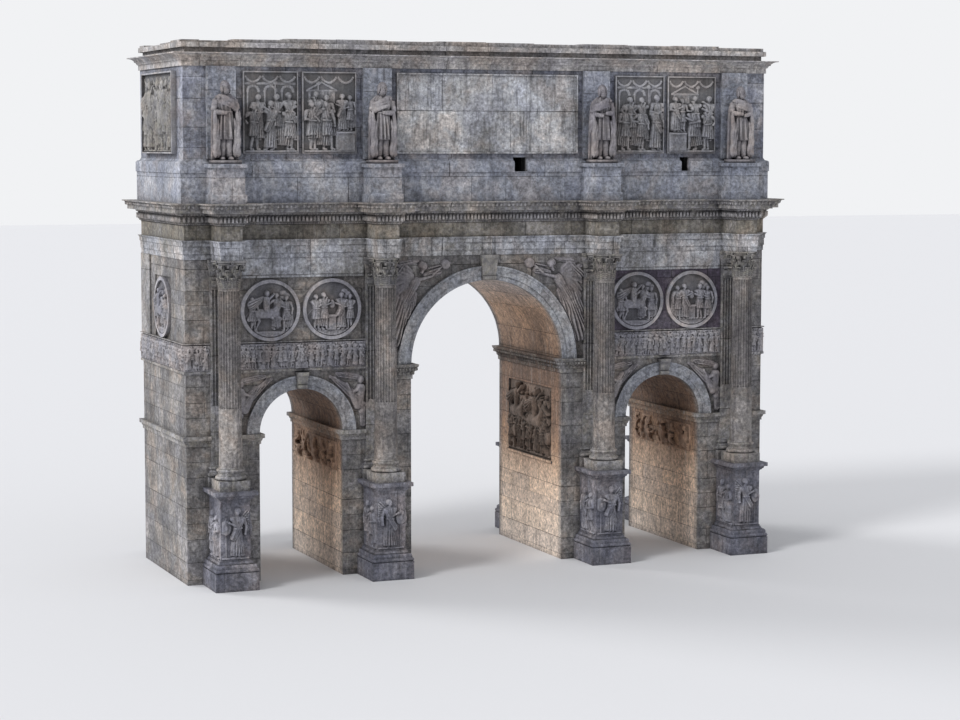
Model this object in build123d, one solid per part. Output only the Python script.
from build123d import *
from math import atan2, cos, pi, sin, sqrt, tan
import os

os.makedirs("parts", exist_ok=True)

# Triumphal arch of three passages. Millimetres, X along the long front, Y through the passages,
# Z up, origin at ground level in the middle of the plan. The front that faces -Y carries four
# columns on pedestals, and the back repeats it.

# Body and passages
body_width = 24700
body_depth = 6600
central_width = 6500
central_spring = 8200
side_width = 3360
side_spring = 5720
inner_strip = 910
outer_strip = 950

# Column order
column_reach = 1000
pedestal_width = 1160
pedestal_plinth_height = 700
dado_height = 2210
base_block_width = 1180
base_block_height = 380
shaft_foot_radius = 450
shaft_neck_radius = 400
cabled_height = 2240
fluted_height = 4420
neck_height = 110
flute_count = 24
flute_share = 0.78
flute_flats = 4
flute_depth = 45
capital_height = 1030
abacus_height = 150
abacus_width = 1140
abacus_corner = 95
abacus_hollow = 95
abacus_step = 40
bell_lip_radius = 465
bell_hollow = 0.05
lower_leaf_height = 400
upper_leaf_height = 640
leaf_width = 290
leaf_thickness = 75
leaf_curl = 120
leaf_drop = 110
leaves_in_row = 8
stalk_level = 520
stalk_thickness = 110
stalk_width = 130
stalk_bulge = 0.15
volute_place = 640
volute_radius = 105
volute_width = 150
volute_bedding = 12
fleuron_radius = 62
fleuron_reach = 60
pilaster_width = 1000
pilaster_reach = 110
pilaster_flutes = 7
pilaster_flute_width = 83
pilaster_leaf_row = 300
pilaster_capital_reach = 100
corner_pilaster_width = 1400
corner_pilaster_reach = 60

# Members of each moulding from the bottom up: shape, height, reach of its upper edge
pedestal_base_members = (("torus", 160, 270), ("band", 60, 210), ("cyma", 200, 60), ("band", 60, 30))
pedestal_cap_members = (("cavetto", 90, 60), ("band", 40, 80), ("cyma", 110, 190), ("band", 150, 250))
column_base_members = (("torus", 170, 140), ("band", 30, 70), ("scotia", 90, 55), ("band", 30, 50),
                       ("torus", 110, 90), ("band", 30, 30), ("cavetto", 30, 0))
side_impost_members = (("band", 120, 50), ("cyma", 120, 130), ("band", 150, 170))
central_impost_members = (("band", 160, 50), ("cyma", 170, 150), ("band", 120, 190), ("ovolo", 80, 240),
                          ("band", 50, 250))
side_archivolt_members = (("band", 180, 50), ("band", 200, 80), ("cyma", 90, 130), ("band", 50, 140))
central_archivolt_members = (("band", 190, 60), ("band", 210, 100), ("cyma", 110, 170), ("band", 60, 180))
string_members = (("cavetto", 60, 70), ("band", 90, 90))
frieze_cap_members = (("cavetto", 40, 90), ("band", 40, 100))
pilaster_base_members = (("torus", 170, 140), ("band", 30, 80), ("cavetto", 90, 40), ("torus", 110, 90),
                         ("band", 30, 40), ("cavetto", 30, 0))
architrave_members = (("band", 210, 30), ("band", 290, 60), ("band", 140, 90), ("cyma", 60, 130),
                      ("band", 30, 140))
frieze_members = (("band", 520, 20), ("cavetto", 40, 50))
cornice_members = (("cyma", 90, 110), ("band", 280, 130), ("ovolo", 110, 220), ("band", 170, 480),
                   ("cyma", 150, 630), ("band", 40, 660))
attic_base_members = (("band", 350, 185), ("cyma", 180, 20))
attic_cornice_members = (("band", 200, 60), ("cyma", 110, 190), ("band", 40, 200), ("cavetto", 110, 410),
                         ("band", 40, 440))
statue_base_members = (("band", 300, 60), ("cyma", 70, 0))
statue_cap_members = (("cyma", 60, 60), ("band", 140, 100))

# Bays between the columns
string_top = 8200
figure_frieze_height = 990
figure_frieze_thickness = 70
roundel_diameter = 2360
roundel_spacing = 2480
roundel_level = 10470
roundel_rim = 130
roundel_thickness = 150
roundel_sinking = 90
roundel_sleeve = 4
veneer_thickness = 50
band_bottom = 11720
end_recess_margin = 40
end_recess_depth = 60
keystone_width = 700
keystone_taper = 0.78
keystone_reach = 330
keystone_scroll = 170
keystone_scroll_reach = 250
keystone_cap = 110
side_keystone_width = 460

# Reliefs on the passage jambs
jamb_relief_width = 4500
jamb_relief_bottom = 3900
jamb_relief_height = 3000
jamb_relief_thickness = 80
jamb_recess_depth = 160
jamb_sill_height = 90
jamb_sill_reach = 70
jamb_sill_margin = 120

# Attic
attic_plinth_height = 1140
attic_plinth_reach = 150
attic_wall_height = 3490
attic_wall_thickness = 900
blocking_height = 200
blocking_set_back = 90
roof_thickness = 450

# Coping stones, with how much is worn off the top block of each from left to right, and front to back
coping_slab_height = 190
coping_slab_reach = 60
coping_block_height = 190
coping_block_set_back = 250
coping_joint = 12
front_wear = (120, 60, 10, 0, 30, 0, 15, 40, 0, 20, 0, 50)
end_wear = (60, 110, 170)
panel_width = 2180
panel_gap = 160
panel_bottom = 200
panel_height = 3120
panel_frame = 55
panel_thickness = 120
panel_sinking = 50
inscription_width = 7700
end_panel_margin = 950
end_panel_thickness = 200
end_panel_sinking = 130
window_height = 560
window_sill = 15740
near_window_width = 580
near_window_place = 1370
far_window_width = 400
far_window_place = 8680
attic_pilaster_width = 1150
attic_pilaster_reach = 180

# Standing figures on the attic pedestals. Each ring of their drapery gives its level above the feet,
# its width and its depth; the figures are carved larger than these sizes by figure_scale
figure_scale = 1.05
statue_pedestal_width = 1220
statue_pedestal_height = 1490
statue_pedestal_reach = 1180
figure_plinth_height = 130
figure_plinth_width = 1050
figure_plinth_depth = 760
skirt_rings = ((760, 640, 450), (1620, 480, 360))
torso_rings = ((1500, 490, 360), (1620, 460, 340), (1960, 580, 380), (2190, 640, 350), (2310, 300, 250))
cloak_rings = ((0, 880, 580), (1200, 900, 570), (2050, 820, 490), (2330, 430, 340))
fold_count = 11
fold_depth = 50
points_in_fold = 4
cloak_thickness = 80
cloak_set_back = 110
cloak_opening = 150
leg_spread = 120
knee_level = 800
knee_radius = 105
ankle_radius = 75
shoe_length = 330
shoe_height = 110
shoe_set_forward = 80
shoulder_level = 2130
shoulder_spread = 290
elbow_level = 1680
elbow_spread = 395
elbow_set_forward = 40
sleeve_radius = 105
elbow_radius = 98
wrist_radius = 62
hand_radius = 75
head_level = 2540
head_set_forward = 30
head_size = (235, 280, 350)
hair_size = (300, 280, 360)
hair_set_back = 50
beard_size = (176, 170, 220)
beard_drop = 130
beard_set_forward = 70
neck_radius = 95
nape_radius = 85

# Right hand, left hand and sideways tilt of the head of each figure from left to right
stances = (((-90, -260, 1620), (110, -250, 1960), -6), ((130, -250, 1990), (-60, -270, 1640), 8),
           ((-110, -280, 1600), (60, -280, 1690), 0), ((-75, -275, 1715), (70, -265, 1630), -6))

# Depth of a scotia as a share of its height
scotia_hollow = 0.3


def bulged(start, end, share):
    """Arc between two points that swells to the right of the way it runs by a share of its chord"""
    chord = end - start
    outward = Vector(chord.Y, -chord.X)
    return ThreePointArc(start, (start + end) * 0.5 + outward * share, end)


def quarter(start, end, side):
    """Arc that meets the level or the upright at one end, to the right (1) or left (-1)"""
    chord = end - start
    slope = atan2(abs(chord.X), abs(chord.Y))
    return bulged(start, end, side * tan(min(slope, pi / 2 - slope) / 2) / 2)


def profile(members, core=0):
    """Cross-section of a moulding: X is its reach from the wall, Y its height, bedded by core"""
    edges = []
    point = Vector(0, 0)
    for shape, height, reach in members:
        foot = {"band": reach, "torus": reach - height / 2, "scotia": reach}.get(shape, point.X)
        if abs(foot - point.X) > 0:
            step = Vector(foot, point.Y)
            edges.append(Line(point, step))
            point = step
        top = Vector(point.X if shape == "torus" else reach, point.Y + height)
        if shape == "band":
            edges.append(Line(point, top))
        elif shape == "torus":
            edges.append(bulged(point, top, 1 / 2))
        elif shape == "scotia":
            edges.append(bulged(point, top, -scotia_hollow))
        elif shape == "cyma":
            middle = (point + top) * 0.5
            edges.append(quarter(point, middle, 1))
            edges.append(quarter(middle, top, -1))
        else:
            edges.append(quarter(point, top, 1 if shape == "ovolo" else -1))
        point = top
    outline = [point, Vector(-core, point.Y), Vector(-core, 0), Vector(0, 0)]
    for start, end in zip(outline, outline[1:]):
        if (end - start).length > 0:
            edges.append(Line(start, end))
    return make_face(edges)


def rise(members):
    """Height of a moulding, the sum of its members"""
    return sum(height for shape, height, reach in members)


def reach_of(members):
    """How far a moulding stands out from its wall"""
    return max(reach for shape, height, reach in members)


def moulding(members, points, level, closed=False):
    """Moulding run with mitred corners along points in plan, outward on the right-hand side"""
    corners = [Vector(x, y, level) for x, y in points]
    along = (corners[1] - corners[0]).normalized()
    outward = along.cross(Vector(0, 0, 1))
    start = Plane(origin=corners[0], x_dir=outward, z_dir=outward.cross(Vector(0, 0, 1)))
    path = Wire.make_polygon(corners, close=closed)
    return sweep(sections=start * profile(members), path=path, transition=Transition.RIGHT)


def block(x, y, z):
    """Box between two values on each axis"""
    lengths = [abs(high - low) for low, high in (x, y, z)]
    return Pos(min(x), min(y), min(z)) * Box(*lengths, align=Align.MIN)


def mirrored(piece):
    """A piece and its twin on the other side of the middle of the front"""
    return [piece, mirror(piece, about=Plane.YZ)]


def both_fronts(pieces):
    """Pieces of the front and their twins on the back"""
    return pieces + [mirror(piece, about=Plane.XZ) for piece in pieces]


def write(node, pieces):
    """Write the solids of one named piece"""
    solids = [solid for piece in pieces for solid in piece.solids()]
    shape = solids[0] if len(solids) == 1 else Compound(solids)
    export_step(shape, f"parts/{node}.step", write_pcurves=False)


# Levels and planes that follow from the sizes above
half_width = body_width / 2
base_reach = reach_of(pilaster_base_members)
half_depth = body_depth / 2
inner_axis = central_width / 2 + inner_strip + pilaster_width / 2
outer_axis = half_width - outer_strip - pilaster_width / 2
side_axis = (inner_axis + outer_axis) / 2
column_y = half_depth + column_reach
axes = (-outer_axis, -inner_axis, inner_axis, outer_axis)
pedestal_height = (pedestal_plinth_height + rise(pedestal_base_members) + dado_height
                   + rise(pedestal_cap_members))
shaft_level = pedestal_height + base_block_height + rise(column_base_members)
flute_level = shaft_level + cabled_height
neck_level = flute_level + fluted_height
capital_level = neck_level + neck_height
architrave_level = capital_level + capital_height
frieze_level = architrave_level + rise(architrave_members)
cornice_level = frieze_level + rise(frieze_members)
attic_level = cornice_level + rise(cornice_members)
attic_base_level = attic_level + attic_plinth_height
attic_wall_level = attic_base_level + rise(attic_base_members)
attic_cornice_level = attic_wall_level + attic_wall_height
side_jamb_outer = side_axis + side_width / 2
side_jamb_inner = side_axis - side_width / 2
central_jamb = central_width / 2
bay_inner = inner_axis + pilaster_width / 2
bay_outer = outer_axis - pilaster_width / 2
front = -half_depth
pilaster_bell_height = architrave_level - abacus_height - band_bottom


# Masonry

def vault(axis, width, spring):
    """Room under a round arch, from its springing up, right through the body"""
    cylinder = Cylinder(width / 2, 2 * body_depth, rotation=(90, 0, 0))
    return Pos(axis, 0, spring) * cylinder


depth = (-half_depth, half_depth)
outer_pier = block((side_jamb_outer, half_width), depth, (0, side_spring))
write("right_outer_pier", [outer_pier])
write("left_outer_pier", [mirror(outer_pier, about=Plane.YZ)])

# The relief on each jamb of the central passage lies in a sunk bed over a sill
relief_half = jamb_relief_width / 2
relief_bed = block((central_jamb, central_jamb + jamb_recess_depth), (-relief_half, relief_half),
                   (jamb_relief_bottom, jamb_relief_bottom + jamb_relief_height))
sill_half = relief_half + jamb_sill_margin
sill = block((central_jamb - jamb_sill_reach, central_jamb), (-sill_half, sill_half),
             (jamb_relief_bottom - jamb_sill_height, jamb_relief_bottom))
inner_pier = block((central_jamb, side_jamb_inner), depth, (0, side_spring)) - relief_bed + sill
write("right_inner_pier", [inner_pier])
write("left_inner_pier", [mirror(inner_pier, about=Plane.YZ)])

side_arch = (block((central_jamb, half_width), depth, (side_spring, central_spring))
             - vault(side_axis, side_width, side_spring) - relief_bed)
write("right_side_arch", [side_arch])
write("left_side_arch", [mirror(side_arch, about=Plane.YZ)])

central_block = inner_axis - pilaster_width / 2
central_arch = (block((-central_block, central_block), depth, (central_spring, architrave_level))
                - vault(0, central_width, central_spring))
write("central_arch", [central_arch])
end_recess_half = roundel_diameter / 2 + end_recess_margin
end_recess = block((half_width - end_recess_depth, half_width), (-end_recess_half, end_recess_half),
                   (roundel_level - end_recess_half, roundel_level + end_recess_half))
bay_wall = block((central_block, half_width), depth, (central_spring, architrave_level)) - end_recess
write("right_bay_wall", [bay_wall])
write("left_bay_wall", [mirror(bay_wall, about=Plane.YZ)])


# Imposts, archivolts and keystones

def side_imposts():
    """Moulded course at the springing of a side arch, round both jambs and the short end"""
    level = side_spring - rise(side_impost_members)
    end = outer_axis + pilaster_width / 2
    outer_jamb = ((bay_outer, half_depth), (side_jamb_outer, half_depth),
                  (side_jamb_outer, front), (bay_outer, front))
    inner_jamb = ((bay_inner, front), (side_jamb_inner, front),
                  (side_jamb_inner, half_depth), (bay_inner, half_depth))
    short_end = ((end, front), (half_width, front), (half_width, half_depth), (end, half_depth))
    return [moulding(side_impost_members, run, level) for run in (outer_jamb, inner_jamb, short_end)]


write("side_imposts", [twin for piece in side_imposts() for twin in mirrored(piece)])

central_impost = moulding(
    central_impost_members,
    ((central_block, half_depth), (central_jamb, half_depth), (central_jamb, front), (central_block, front)),
    central_spring - rise(central_impost_members))
write("central_imposts", mirrored(central_impost))


def wedge(axis, width, spring, radius, top):
    """Tapered block at the crown of an arch, from its soffit up to the course above"""
    foot = spring + radius
    half_top = width / 2
    half_foot = half_top * keystone_taper
    outline = Polyline((axis - half_foot, foot), (axis - half_top, top), (axis + half_top, top),
                       (axis + half_foot, foot), close=True)
    return extrude(Plane.XZ.offset(half_depth) * make_face(outline), keystone_reach)


def keystone(block_of_stone):
    """The tapered block cut to a scroll at its foot, a double curve and a cap"""
    bounds = block_of_stone.bounding_box()
    waist = bounds.size.Z - keystone_scroll - keystone_cap
    members = (("torus", keystone_scroll, keystone_scroll_reach), ("cyma", waist, keystone_reach),
               ("band", keystone_cap, keystone_reach))
    section = Plane(origin=(bounds.max.X, front, bounds.min.Z), x_dir=(0, -1, 0), z_dir=(-1, 0, 0))
    return block_of_stone & extrude(section * profile(members), bounds.size.X)


def archivolt(members, axis, spring, radius):
    """Moulded ring round the face of an arch, revolved about the arch's own axis"""
    section = Plane(origin=(axis + radius, front, spring), x_dir=(0, -1, 0), z_dir=(0, 0, 1))
    axle = Axis((axis, 0, spring), (0, -1, 0))
    return revolve(section * profile(members), axle, 180)


string_level = string_top - rise(string_members)
central_wedge = wedge(0, keystone_width, central_spring, central_jamb, architrave_level)
central_ring = archivolt(central_archivolt_members, 0, central_spring, central_jamb) - central_wedge
side_wedge = wedge(side_axis, side_keystone_width, side_spring, side_width / 2, string_level)
side_ring = archivolt(side_archivolt_members, side_axis, side_spring, side_width / 2) - side_wedge
write("keystones", both_fronts([keystone(central_wedge)] + mirrored(keystone(side_wedge))))
write("central_archivolts", both_fronts([central_ring]))
write("side_archivolts", both_fronts(mirrored(side_ring)))


# Bays between the columns

corner = outer_axis + pilaster_width / 2


def bay_course(members, level):
    """A moulded course in each bay and round each short end, on both fronts"""
    bay = moulding(members, ((bay_inner, front), (bay_outer, front)), level)
    end = moulding(members, ((corner, front), (half_width, front), (half_width, half_depth),
                             (corner, half_depth)), level)
    return both_fronts(mirrored(bay)) + mirrored(end)


frieze_top = string_top + figure_frieze_height
figure_frieze_members = (("band", figure_frieze_height, figure_frieze_thickness),)
write("string_courses",
      bay_course(string_members, string_level) + bay_course(frieze_cap_members, frieze_top))
write("figure_friezes", bay_course(figure_frieze_members, string_top))


def roundel():
    """Carved disc with a raised rim, its axis along Z and its back at 0"""
    radius = roundel_diameter / 2
    disc = Cylinder(radius, roundel_thickness, align=(Align.CENTER, Align.CENTER, Align.MIN))
    sinking = Pos(0, 0, roundel_thickness - roundel_sinking) * Cylinder(
        radius - roundel_rim, roundel_sinking, align=(Align.CENTER, Align.CENTER, Align.MIN))
    return disc - sinking


bay_roundels = [Plane(origin=(side_axis + side * roundel_spacing / 2, front, roundel_level),
                      z_dir=(0, -1, 0)) * roundel() for side in (-1, 1)]
write("bay_roundels", both_fronts([twin for piece in bay_roundels for twin in mirrored(piece)]))
end_roundel = Plane(origin=(half_width - end_recess_depth, 0, roundel_level), z_dir=(1, 0, 0)) * roundel()
write("end_roundels", mirrored(end_roundel))

veneer_bottom = frieze_top + rise(frieze_cap_members)
veneer = block((bay_inner, bay_outer), (front - veneer_thickness, front), (veneer_bottom, band_bottom))
for side in (-1, 1):
    hole = Cylinder(roundel_diameter / 2 + roundel_sleeve, 2 * roundel_thickness, rotation=(90, 0, 0))
    veneer -= Pos(side_axis + side * roundel_spacing / 2, front, roundel_level) * hole
write("porphyry_veneer", [veneer])

abacus_half = abacus_width / 2
band = block((inner_axis + abacus_half, outer_axis - abacus_half), (front - figure_frieze_thickness, front),
             (band_bottom, architrave_level))
write("bay_bands", both_fronts(mirrored(band)))


def framed_panel(width, height, thickness, frame, sinking):
    """Upright slab with a raised border, flat back at Y = 0, facing -Y, standing on Z = 0"""
    slab = block((-width / 2, width / 2), (-thickness, 0), (0, height))
    recess = block((frame - width / 2, width / 2 - frame), (-thickness, sinking - thickness),
                   (frame, height - frame))
    return slab - recess


jamb_relief_back = central_jamb + jamb_recess_depth
jamb_relief = block((jamb_relief_back - jamb_relief_thickness, jamb_relief_back),
                    (-relief_half, relief_half),
                    (jamb_relief_bottom, jamb_relief_bottom + jamb_relief_height))
write("passage_reliefs", mirrored(jamb_relief))


# Columns, pilasters and their pedestals

def at_columns(piece):
    """A piece modelled about one column axis, repeated at the eight columns"""
    return both_fronts([Pos(axis, -column_y, 0) * piece for axis in axes])


def pedestal():
    """Pedestal about its column axis, running back to the wall"""
    half = pedestal_width / 2
    plan = ((-half, column_reach), (-half, -half), (half, -half), (half, column_reach))
    base_level = pedestal_plinth_height
    dado_level = base_level + rise(pedestal_base_members)
    cap_level = dado_level + dado_height
    plinth_reach = reach_of(pedestal_base_members)
    plinth = block((-half - plinth_reach, half + plinth_reach), (-half - plinth_reach, column_reach),
                   (0, base_level))
    core = block((-half, half), (-half, column_reach), (0, pedestal_height))
    foot = moulding(pedestal_base_members, plan, base_level)
    cap = moulding(pedestal_cap_members, plan, cap_level)
    return plinth + core + foot + cap


def column_base():
    """Square block and turned mouldings under the shaft"""
    square = base_block_width / 2
    slab = block((-square, square), (-square, square),
                 (pedestal_height, pedestal_height + base_block_height))
    section = Plane(origin=(shaft_foot_radius, 0, pedestal_height + base_block_height), x_dir=(1, 0, 0),
                    z_dir=(0, -1, 0))
    return slab + revolve(section * profile(column_base_members, shaft_foot_radius), Axis.Z)


def fluted_outline(radius, level):
    """Outline of the shaft with its flutes, each a rounded channel in four flats between narrow fillets"""
    points = []
    pitch = 2 * pi / flute_count
    half_channel = pitch * flute_share / 2
    for flute in range(flute_count):
        for step in range(-flute_flats // 2, flute_flats // 2 + 1):
            share = sin(pi * step / flute_flats)
            angle = flute * pitch + half_channel * share
            reach = radius - flute_depth * sqrt(1 - share ** 2)
            points.append(Vector(reach * cos(angle), reach * sin(angle), level))
    return Face(Wire.make_polygon(points, close=True))


def shaft():
    """Tapered shaft: plain below, fluted above, with a plain neck"""
    taper = (shaft_foot_radius - shaft_neck_radius) / (capital_level - shaft_level)

    def radius_at(level):
        return shaft_foot_radius - taper * (level - shaft_level)

    lower = Pos(0, 0, shaft_level) * Cone(radius_at(shaft_level), radius_at(flute_level), cabled_height,
                                          align=(Align.CENTER, Align.CENTER, Align.MIN))
    fluted = loft([fluted_outline(radius_at(flute_level), flute_level),
                   fluted_outline(radius_at(neck_level), neck_level)], ruled=True)
    neck = Pos(0, 0, neck_level) * Cone(radius_at(neck_level), radius_at(capital_level), neck_height,
                                        align=(Align.CENTER, Align.CENTER, Align.MIN))
    return lower + fluted + neck


def leaf(height):
    """Leaf on an upright face at X = 0, its round tip curling over towards +X"""
    shoulder = height - leaf_drop
    inner_tip = (leaf_curl + leaf_thickness) / 2
    side = make_face([
        Line((-leaf_thickness, 0), (-leaf_thickness, shoulder)),
        ThreePointArc((-leaf_thickness, shoulder), (leaf_curl / 2, height), (leaf_curl, shoulder)),
        ThreePointArc((leaf_curl, shoulder), (inner_tip, shoulder + leaf_drop / 3),
                      (leaf_thickness, shoulder - leaf_drop / 2)),
        Line((leaf_thickness, shoulder - leaf_drop / 2), (leaf_thickness, 0)),
        Line((leaf_thickness, 0), (-leaf_thickness, 0))])
    half = leaf_width / 2
    face = make_face([
        Line((-half, 0), (half, 0)),
        Line((half, 0), (half, shoulder - half)),
        ThreePointArc((half, shoulder - half), (0, height), (-half, shoulder - half)),
        Line((-half, shoulder - half), (-half, 0))])
    return extrude(Plane.XZ * side, half, both=True) & extrude(Plane.YZ * face, 2 * leaf_curl, both=True)


def volute():
    """Stalk that leaves the bell towards +X and carries a round scroll under the abacus corner"""
    top = capital_height - abacus_height
    stalk = make_face([
        bulged(Vector(shaft_neck_radius, stalk_level), Vector(volute_place, top), -stalk_bulge),
        Line((volute_place, top), (volute_place, top - stalk_thickness)),
        bulged(Vector(volute_place, top - stalk_thickness),
               Vector(shaft_neck_radius, stalk_level - stalk_thickness), stalk_bulge),
        Line((shaft_neck_radius, stalk_level - stalk_thickness), (shaft_neck_radius, stalk_level))])
    scroll = Cylinder(volute_radius, volute_width, rotation=(90, 0, 0))
    return (extrude(Plane.XZ * stalk, stalk_width / 2, both=True)
            + Pos(volute_place, 0, top - volute_radius + volute_bedding) * scroll)


def abacus_layer(half, level):
    """Half the thickness of the abacus: a square with hollow sides and cut corners"""
    corner_cut = half - abacus_corner
    hollow = ThreePointArc((-corner_cut, -half), (0, abacus_hollow - half), (corner_cut, -half))
    cut = Line((corner_cut, -half), (half, -corner_cut))
    sides = [Rot(0, 0, 90 * turn) * edge for turn in range(4) for edge in (hollow, cut)]
    return extrude(Pos(0, 0, level) * make_face(sides), abacus_height / 2)


def capital():
    """Bell, two rows of leaves, four corner volutes and a hollow-sided abacus with a boss on each side"""
    bell_height = capital_height - abacus_height
    half = abacus_width / 2
    boss_level = bell_height + abacus_height / 2
    bell = revolve(Plane.XZ * make_face([
        Line((0, 0), (shaft_neck_radius, 0)),
        bulged(Vector(shaft_neck_radius, 0), Vector(bell_lip_radius, bell_height), -bell_hollow),
        Line((bell_lip_radius, bell_height), (0, bell_height)),
        Line((0, bell_height), (0, 0))]), Axis.Z)
    pieces = [abacus_layer(half - abacus_step, bell_height), abacus_layer(half, boss_level)]
    for turn in range(leaves_in_row):
        angle = 360 / leaves_in_row * turn
        between = angle + 180 / leaves_in_row
        for row_angle, height in ((angle, lower_leaf_height), (between, upper_leaf_height)):
            pieces.append(Rot(0, 0, row_angle) * Pos(shaft_neck_radius, 0, 0) * leaf(height))
    boss = Pos(0, abacus_hollow - half, boss_level) * Cylinder(fleuron_radius, 2 * fleuron_reach,
                                                               rotation=(90, 0, 0))
    for turn in range(4):
        pieces += [Rot(0, 0, 45 + 90 * turn) * volute(), Rot(0, 0, 90 * turn) * boss]
    return Pos(0, 0, capital_level) * bell.fuse(*pieces)


write("pedestals", at_columns(pedestal()))
write("column_bases", at_columns(column_base()))
write("column_shafts", at_columns(shaft()))
write("capitals", at_columns(capital()))


def pilaster():
    """Fluted strip on the wall behind a column, with its own base and leafed capital"""
    half = pilaster_width / 2
    plan = ((-half, 0), (-half, -pilaster_reach), (half, -pilaster_reach), (half, 0))
    slab = block((-half, half), (-pilaster_reach, 0), (pedestal_height, architrave_level))
    pitch = pilaster_width / (pilaster_flutes + 1)
    for flute in range(pilaster_flutes):
        x = pitch * (flute + 1) - half
        slab -= block((x - pilaster_flute_width / 2, x + pilaster_flute_width / 2),
                      (-pilaster_reach, flute_depth - pilaster_reach), (flute_level, neck_level))
    foot = moulding(pilaster_base_members, plan, pedestal_height + base_block_height)
    foot_block = block((-half - base_reach, half + base_reach), (-pilaster_reach - base_reach, 0),
                       (pedestal_height, pedestal_height + base_block_height))
    capital_members = (("cavetto", pilaster_bell_height, pilaster_capital_reach),
                       ("band", abacus_height, abacus_half - half))
    head = moulding(capital_members, plan, architrave_level - rise(capital_members))
    pieces = [foot, foot_block, head]
    for x in (-pilaster_leaf_row, 0, pilaster_leaf_row):
        pieces.append(Pos(x, -pilaster_reach, capital_level) * Rot(0, 0, -90) * leaf(lower_leaf_height))
    for x in (-pilaster_leaf_row / 2, pilaster_leaf_row / 2):
        pieces.append(Pos(x, -pilaster_reach, capital_level) * Rot(0, 0, -90) * leaf(upper_leaf_height))
    return slab.fuse(*pieces)


one_pilaster = pilaster()
corner_pilaster = block((half_width, half_width + corner_pilaster_reach),
                        (half_depth - corner_pilaster_width, half_depth),
                        (frieze_top + rise(frieze_cap_members), architrave_level))
write("pilasters",
      both_fronts([Pos(axis, front, 0) * one_pilaster for axis in axes]) + mirrored(corner_pilaster))


# Entablature, broken forward over each column

break_half = shaft_neck_radius
break_front = -column_y - break_half


def stepped_plan():
    """Plan of the entablature, anticlockwise from the middle of the left end"""
    run = [(-half_width, front)]
    for axis in axes:
        run += [(axis - break_half, front), (axis - break_half, break_front),
                (axis + break_half, break_front), (axis + break_half, front)]
    run.append((half_width, front))
    return [(-half_width, 0)] + run + [(-x, -y) for x, y in run]


def course(node, members, level):
    """One course: the straight band on the walls, and the blocks that stand forward over the columns"""
    plan = stepped_plan()
    core = extrude(Pos(0, 0, level) * make_face(Polyline(*plan, close=True)), rise(members))
    whole = core + moulding(members, plan, level, closed=True)
    side_reach = break_half + reach_of(members)
    boxes = [block((axis - side_reach, axis + side_reach), (-2 * column_y, front),
                   (level, level + rise(members))) for axis in axes]
    boxes = both_fronts(boxes)
    breaks = [whole & box for box in boxes]
    for box in boxes:
        whole -= box
    write(node, [whole])
    write(f"{node}_breaks", breaks)


course("architrave", architrave_members, architrave_level)
course("frieze", frieze_members, frieze_level)
course("cornice", cornice_members, cornice_level)


# Attic

wall_x = (-half_width, half_width)
inner_half = half_width - attic_wall_thickness
wall_z = (attic_level, attic_cornice_level)
attic_front = block(wall_x, (front, front + attic_wall_thickness), wall_z)
attic_base_run = ((-half_width, 0), (-half_width, front), (half_width, front), (half_width, half_depth),
                  (-half_width, half_depth))
attic_plinth_section = (("band", attic_plinth_height, attic_plinth_reach),)
attic_base = moulding(attic_plinth_section + attic_base_members, attic_base_run, attic_level, closed=True)
for place, width in ((near_window_place, near_window_width), (far_window_place, far_window_width)):
    opening = block((place - width / 2, place + width / 2), (2 * front, 0),
                    (window_sill, window_sill + window_height))
    attic_front -= opening
    attic_base -= opening
write("attic_front_wall", [attic_front])
write("attic_back_wall", [block(wall_x, (half_depth - attic_wall_thickness, half_depth), wall_z)])
end_y = (front + attic_wall_thickness, half_depth - attic_wall_thickness)
attic_end = block((inner_half, half_width), end_y, wall_z)
write("attic_right_wall", [attic_end])
write("attic_left_wall", [mirror(attic_end, about=Plane.YZ)])
write("attic_plinth", [attic_base])

attic_cornice = moulding(attic_cornice_members, attic_base_run, attic_cornice_level, closed=True)
blocking_level = attic_cornice_level + rise(attic_cornice_members)
coping_level = blocking_level + blocking_height
well = block((-inner_half, inner_half), end_y, (attic_cornice_level, coping_level))
ring = block(wall_x, depth, (attic_cornice_level, blocking_level))
blocking_x = (blocking_set_back - half_width, half_width - blocking_set_back)
blocking_y = (blocking_set_back - half_depth, half_depth - blocking_set_back)
blocking = block(blocking_x, blocking_y, (blocking_level, coping_level))
write("attic_cornice", [attic_cornice + ring + blocking - well])
write("attic_roof", [block((-inner_half, inner_half), end_y,
                           (attic_cornice_level, attic_cornice_level + roof_thickness))])


def coping_stones(length, wear):
    """Row of top stones along X, outward to -Y: a slab with a set-back block, worn down on top"""
    pitch = length / len(wear)
    stones = []
    for place, worn in enumerate(wear):
        start = pitch * place - length / 2
        x = (start + coping_joint / 2, start + pitch - coping_joint / 2)
        slab = block(x, (-coping_slab_reach, attic_wall_thickness), (0, coping_slab_height))
        top = block(x, (coping_block_set_back - coping_slab_reach, attic_wall_thickness),
                    (coping_slab_height, coping_slab_height + coping_block_height - worn))
        stones.append(slab + top)
    return stones


front_stones = coping_stones(body_width + 2 * coping_slab_reach, front_wear)
end_stones = coping_stones(2 * end_y[1], end_wear)
stones = both_fronts([Pos(0, front, coping_level) * stone for stone in front_stones])
stones += [twin for stone in end_stones
           for twin in mirrored(Pos(half_width, 0, coping_level) * Rot(0, 0, 90) * stone)]
write("attic_coping", stones)


def attic_panels():
    """Framed reliefs of one front in pairs between the columns"""
    panel = framed_panel(panel_width, panel_height, panel_thickness, panel_frame, panel_sinking)
    step = (panel_width + panel_gap) / 2
    level = attic_wall_level + panel_bottom
    return [Pos(side_axis + side * step, front, level) * panel for side in (-1, 1)]


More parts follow.
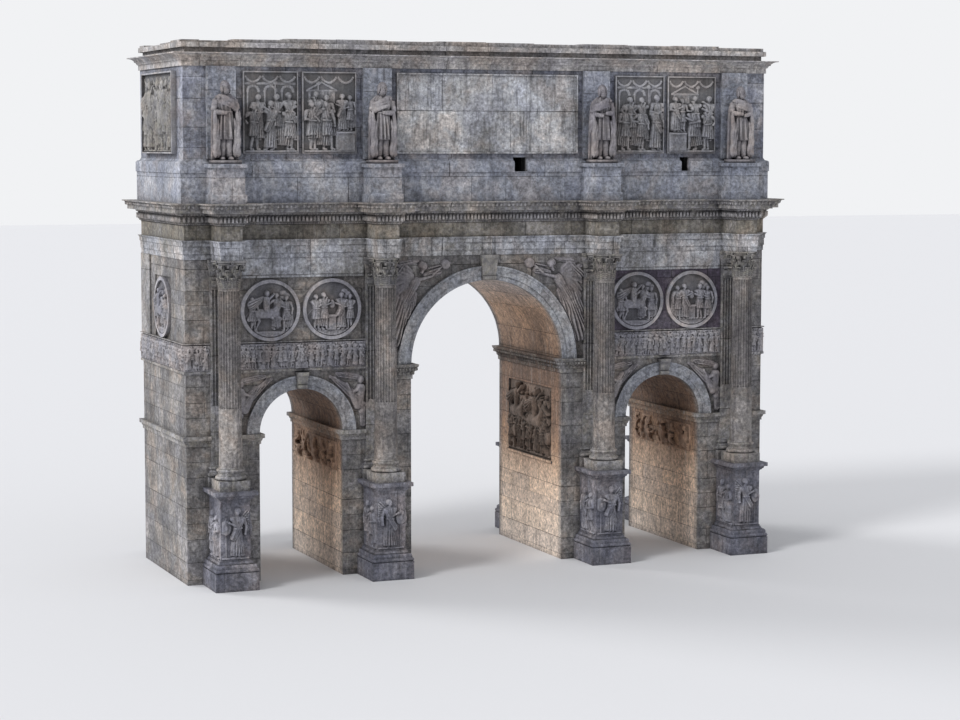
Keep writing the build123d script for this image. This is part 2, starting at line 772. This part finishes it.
end_panel = Pos(half_width, 0, attic_wall_level + panel_bottom) * Rot(0, 0, 90) * framed_panel(
    body_depth - 2 * end_panel_margin, panel_height, end_panel_thickness, panel_frame, end_panel_sinking)
front_panels = [twin for piece in attic_panels() for twin in mirrored(piece)]
write("attic_reliefs", both_fronts(front_panels) + mirrored(end_panel))
inscription = Pos(0, front, attic_wall_level + panel_bottom) * framed_panel(
    inscription_width, panel_height, panel_thickness, panel_frame, panel_sinking)
write("inscription_panels", both_fronts([inscription]))

strip = attic_pilaster_width / 2
attic_strips = [block((axis - strip, axis + strip), (front - attic_pilaster_reach, front),
                      (attic_wall_level, attic_cornice_level)) for axis in axes]
write("attic_pilasters", both_fronts(attic_strips))


# Statues

def statue_pedestal():
    """Pedestal on the cornice before the attic wall at Y = 0, notched round the band of the attic plinth"""
    half = statue_pedestal_width / 2
    back = -attic_plinth_reach
    plan = ((-half, back), (-half, -statue_pedestal_reach), (half, -statue_pedestal_reach), (half, back))
    top = attic_level + statue_pedestal_height
    core = block((-half, half), (-statue_pedestal_reach, back), (attic_level, top))
    foot = moulding(statue_base_members, plan, attic_level)
    cap = moulding(statue_cap_members, plan, top - rise(statue_cap_members))
    notch = block((-statue_pedestal_width, statue_pedestal_width),
                  (-reach_of(attic_base_members), 0), (attic_base_level, attic_wall_level))
    return core + foot + cap - notch


def smooth_rings(rings, shift=0):
    """Solid through oval rings, moved along Y"""
    ovals = [Pos(0, shift, level) * make_face(Ellipse(across / 2, through / 2).edges())
             for level, across, through in rings]
    return loft(ovals, ruled=True)


def folded_rings(rings):
    """Solid through oval rings that ripple with the upright folds of cloth"""
    count = fold_count * points_in_fold
    sections = []
    for level, across, through in rings:
        points = []
        for step in range(count):
            turn = 2 * pi * step / count
            ripple = fold_depth / 2 * cos(fold_count * turn)
            points.append(Vector((across / 2 + ripple) * sin(turn), (through / 2 + ripple) * cos(turn),
                                 level))
        sections.append(Face(Wire.make_polygon(points, close=True)))
    return loft(sections, ruled=True)


def ball(size):
    """Ellipsoid of a given width, depth and height"""
    across, through, high = size
    return scale(Sphere(1), by=(across / 2, through / 2, high / 2))


def limb(start, end, start_radius, end_radius):
    """Tapered round piece between two points"""
    run = Vector(*end) - Vector(*start)
    cone = Cone(start_radius, end_radius, run.length, align=(Align.CENTER, Align.CENTER, Align.MIN))
    return Plane(origin=start, z_dir=run) * cone


def standing_body():
    """What the figures share: plinth, shoes, legs, belted tunic, cloak open in front and neck"""
    half_plinth = figure_plinth_width / 2
    plinth = block((-half_plinth, half_plinth), (-figure_plinth_depth / 2, figure_plinth_depth / 2),
                   (-figure_plinth_height, 0))
    lining_rings = [(level, across - 2 * cloak_thickness, through) for level, across, through in cloak_rings]
    cloak = smooth_rings(cloak_rings, cloak_set_back) - smooth_rings(lining_rings,
                                                                     cloak_set_back - cloak_opening)
    body = plinth + folded_rings(skirt_rings) + smooth_rings(torso_rings) + cloak
    for side in (-leg_spread, leg_spread):
        body += limb((side, 0, 0), (side, 0, knee_level), ankle_radius, knee_radius)
        shoe = Pos(side, -shoe_set_forward, 0) * ball((2 * ankle_radius, shoe_length, 2 * shoe_height))
        body += shoe
    return body + limb((0, 0, shoulder_level), (0, -head_set_forward, head_level), neck_radius, nape_radius)


def bearded_head():
    """Head about its own middle, with a cap of long hair and a full beard"""
    return (ball(head_size) + Pos(0, hair_set_back, 0) * ball(hair_size)
            + Pos(0, -beard_set_forward, -beard_drop) * ball(beard_size))


def figure(body, right_hand, left_hand, tilt):
    """Captive standing in a cloak, the hands joined or held before the body"""
    for side, hand in ((-1, right_hand), (1, left_hand)):
        shoulder = (side * shoulder_spread, 0, shoulder_level)
        elbow = (side * elbow_spread, -elbow_set_forward, elbow_level)
        body += Pos(*shoulder) * Sphere(sleeve_radius)
        body += limb(shoulder, elbow, sleeve_radius, elbow_radius)
        body += Pos(*elbow) * Sphere(elbow_radius)
        body += limb(elbow, hand, elbow_radius, wrist_radius)
        body += Pos(*hand) * Sphere(hand_radius)
    body += Pos(0, -head_set_forward, head_level) * Rot(0, tilt, 0) * bearded_head()
    return body


write("statue_pedestals", both_fronts([Pos(axis, front, 0) * statue_pedestal() for axis in axes]))
shared_body = standing_body()
figure_y = front - (attic_plinth_reach + statue_pedestal_reach) / 2
feet_level = attic_level + statue_pedestal_height + figure_plinth_height * figure_scale
figures = [scale(figure(shared_body, *stance), figure_scale) for stance in stances]
write("statues",
      both_fronts([Pos(axis, figure_y, feet_level) * piece for axis, piece in zip(axes, figures)]))
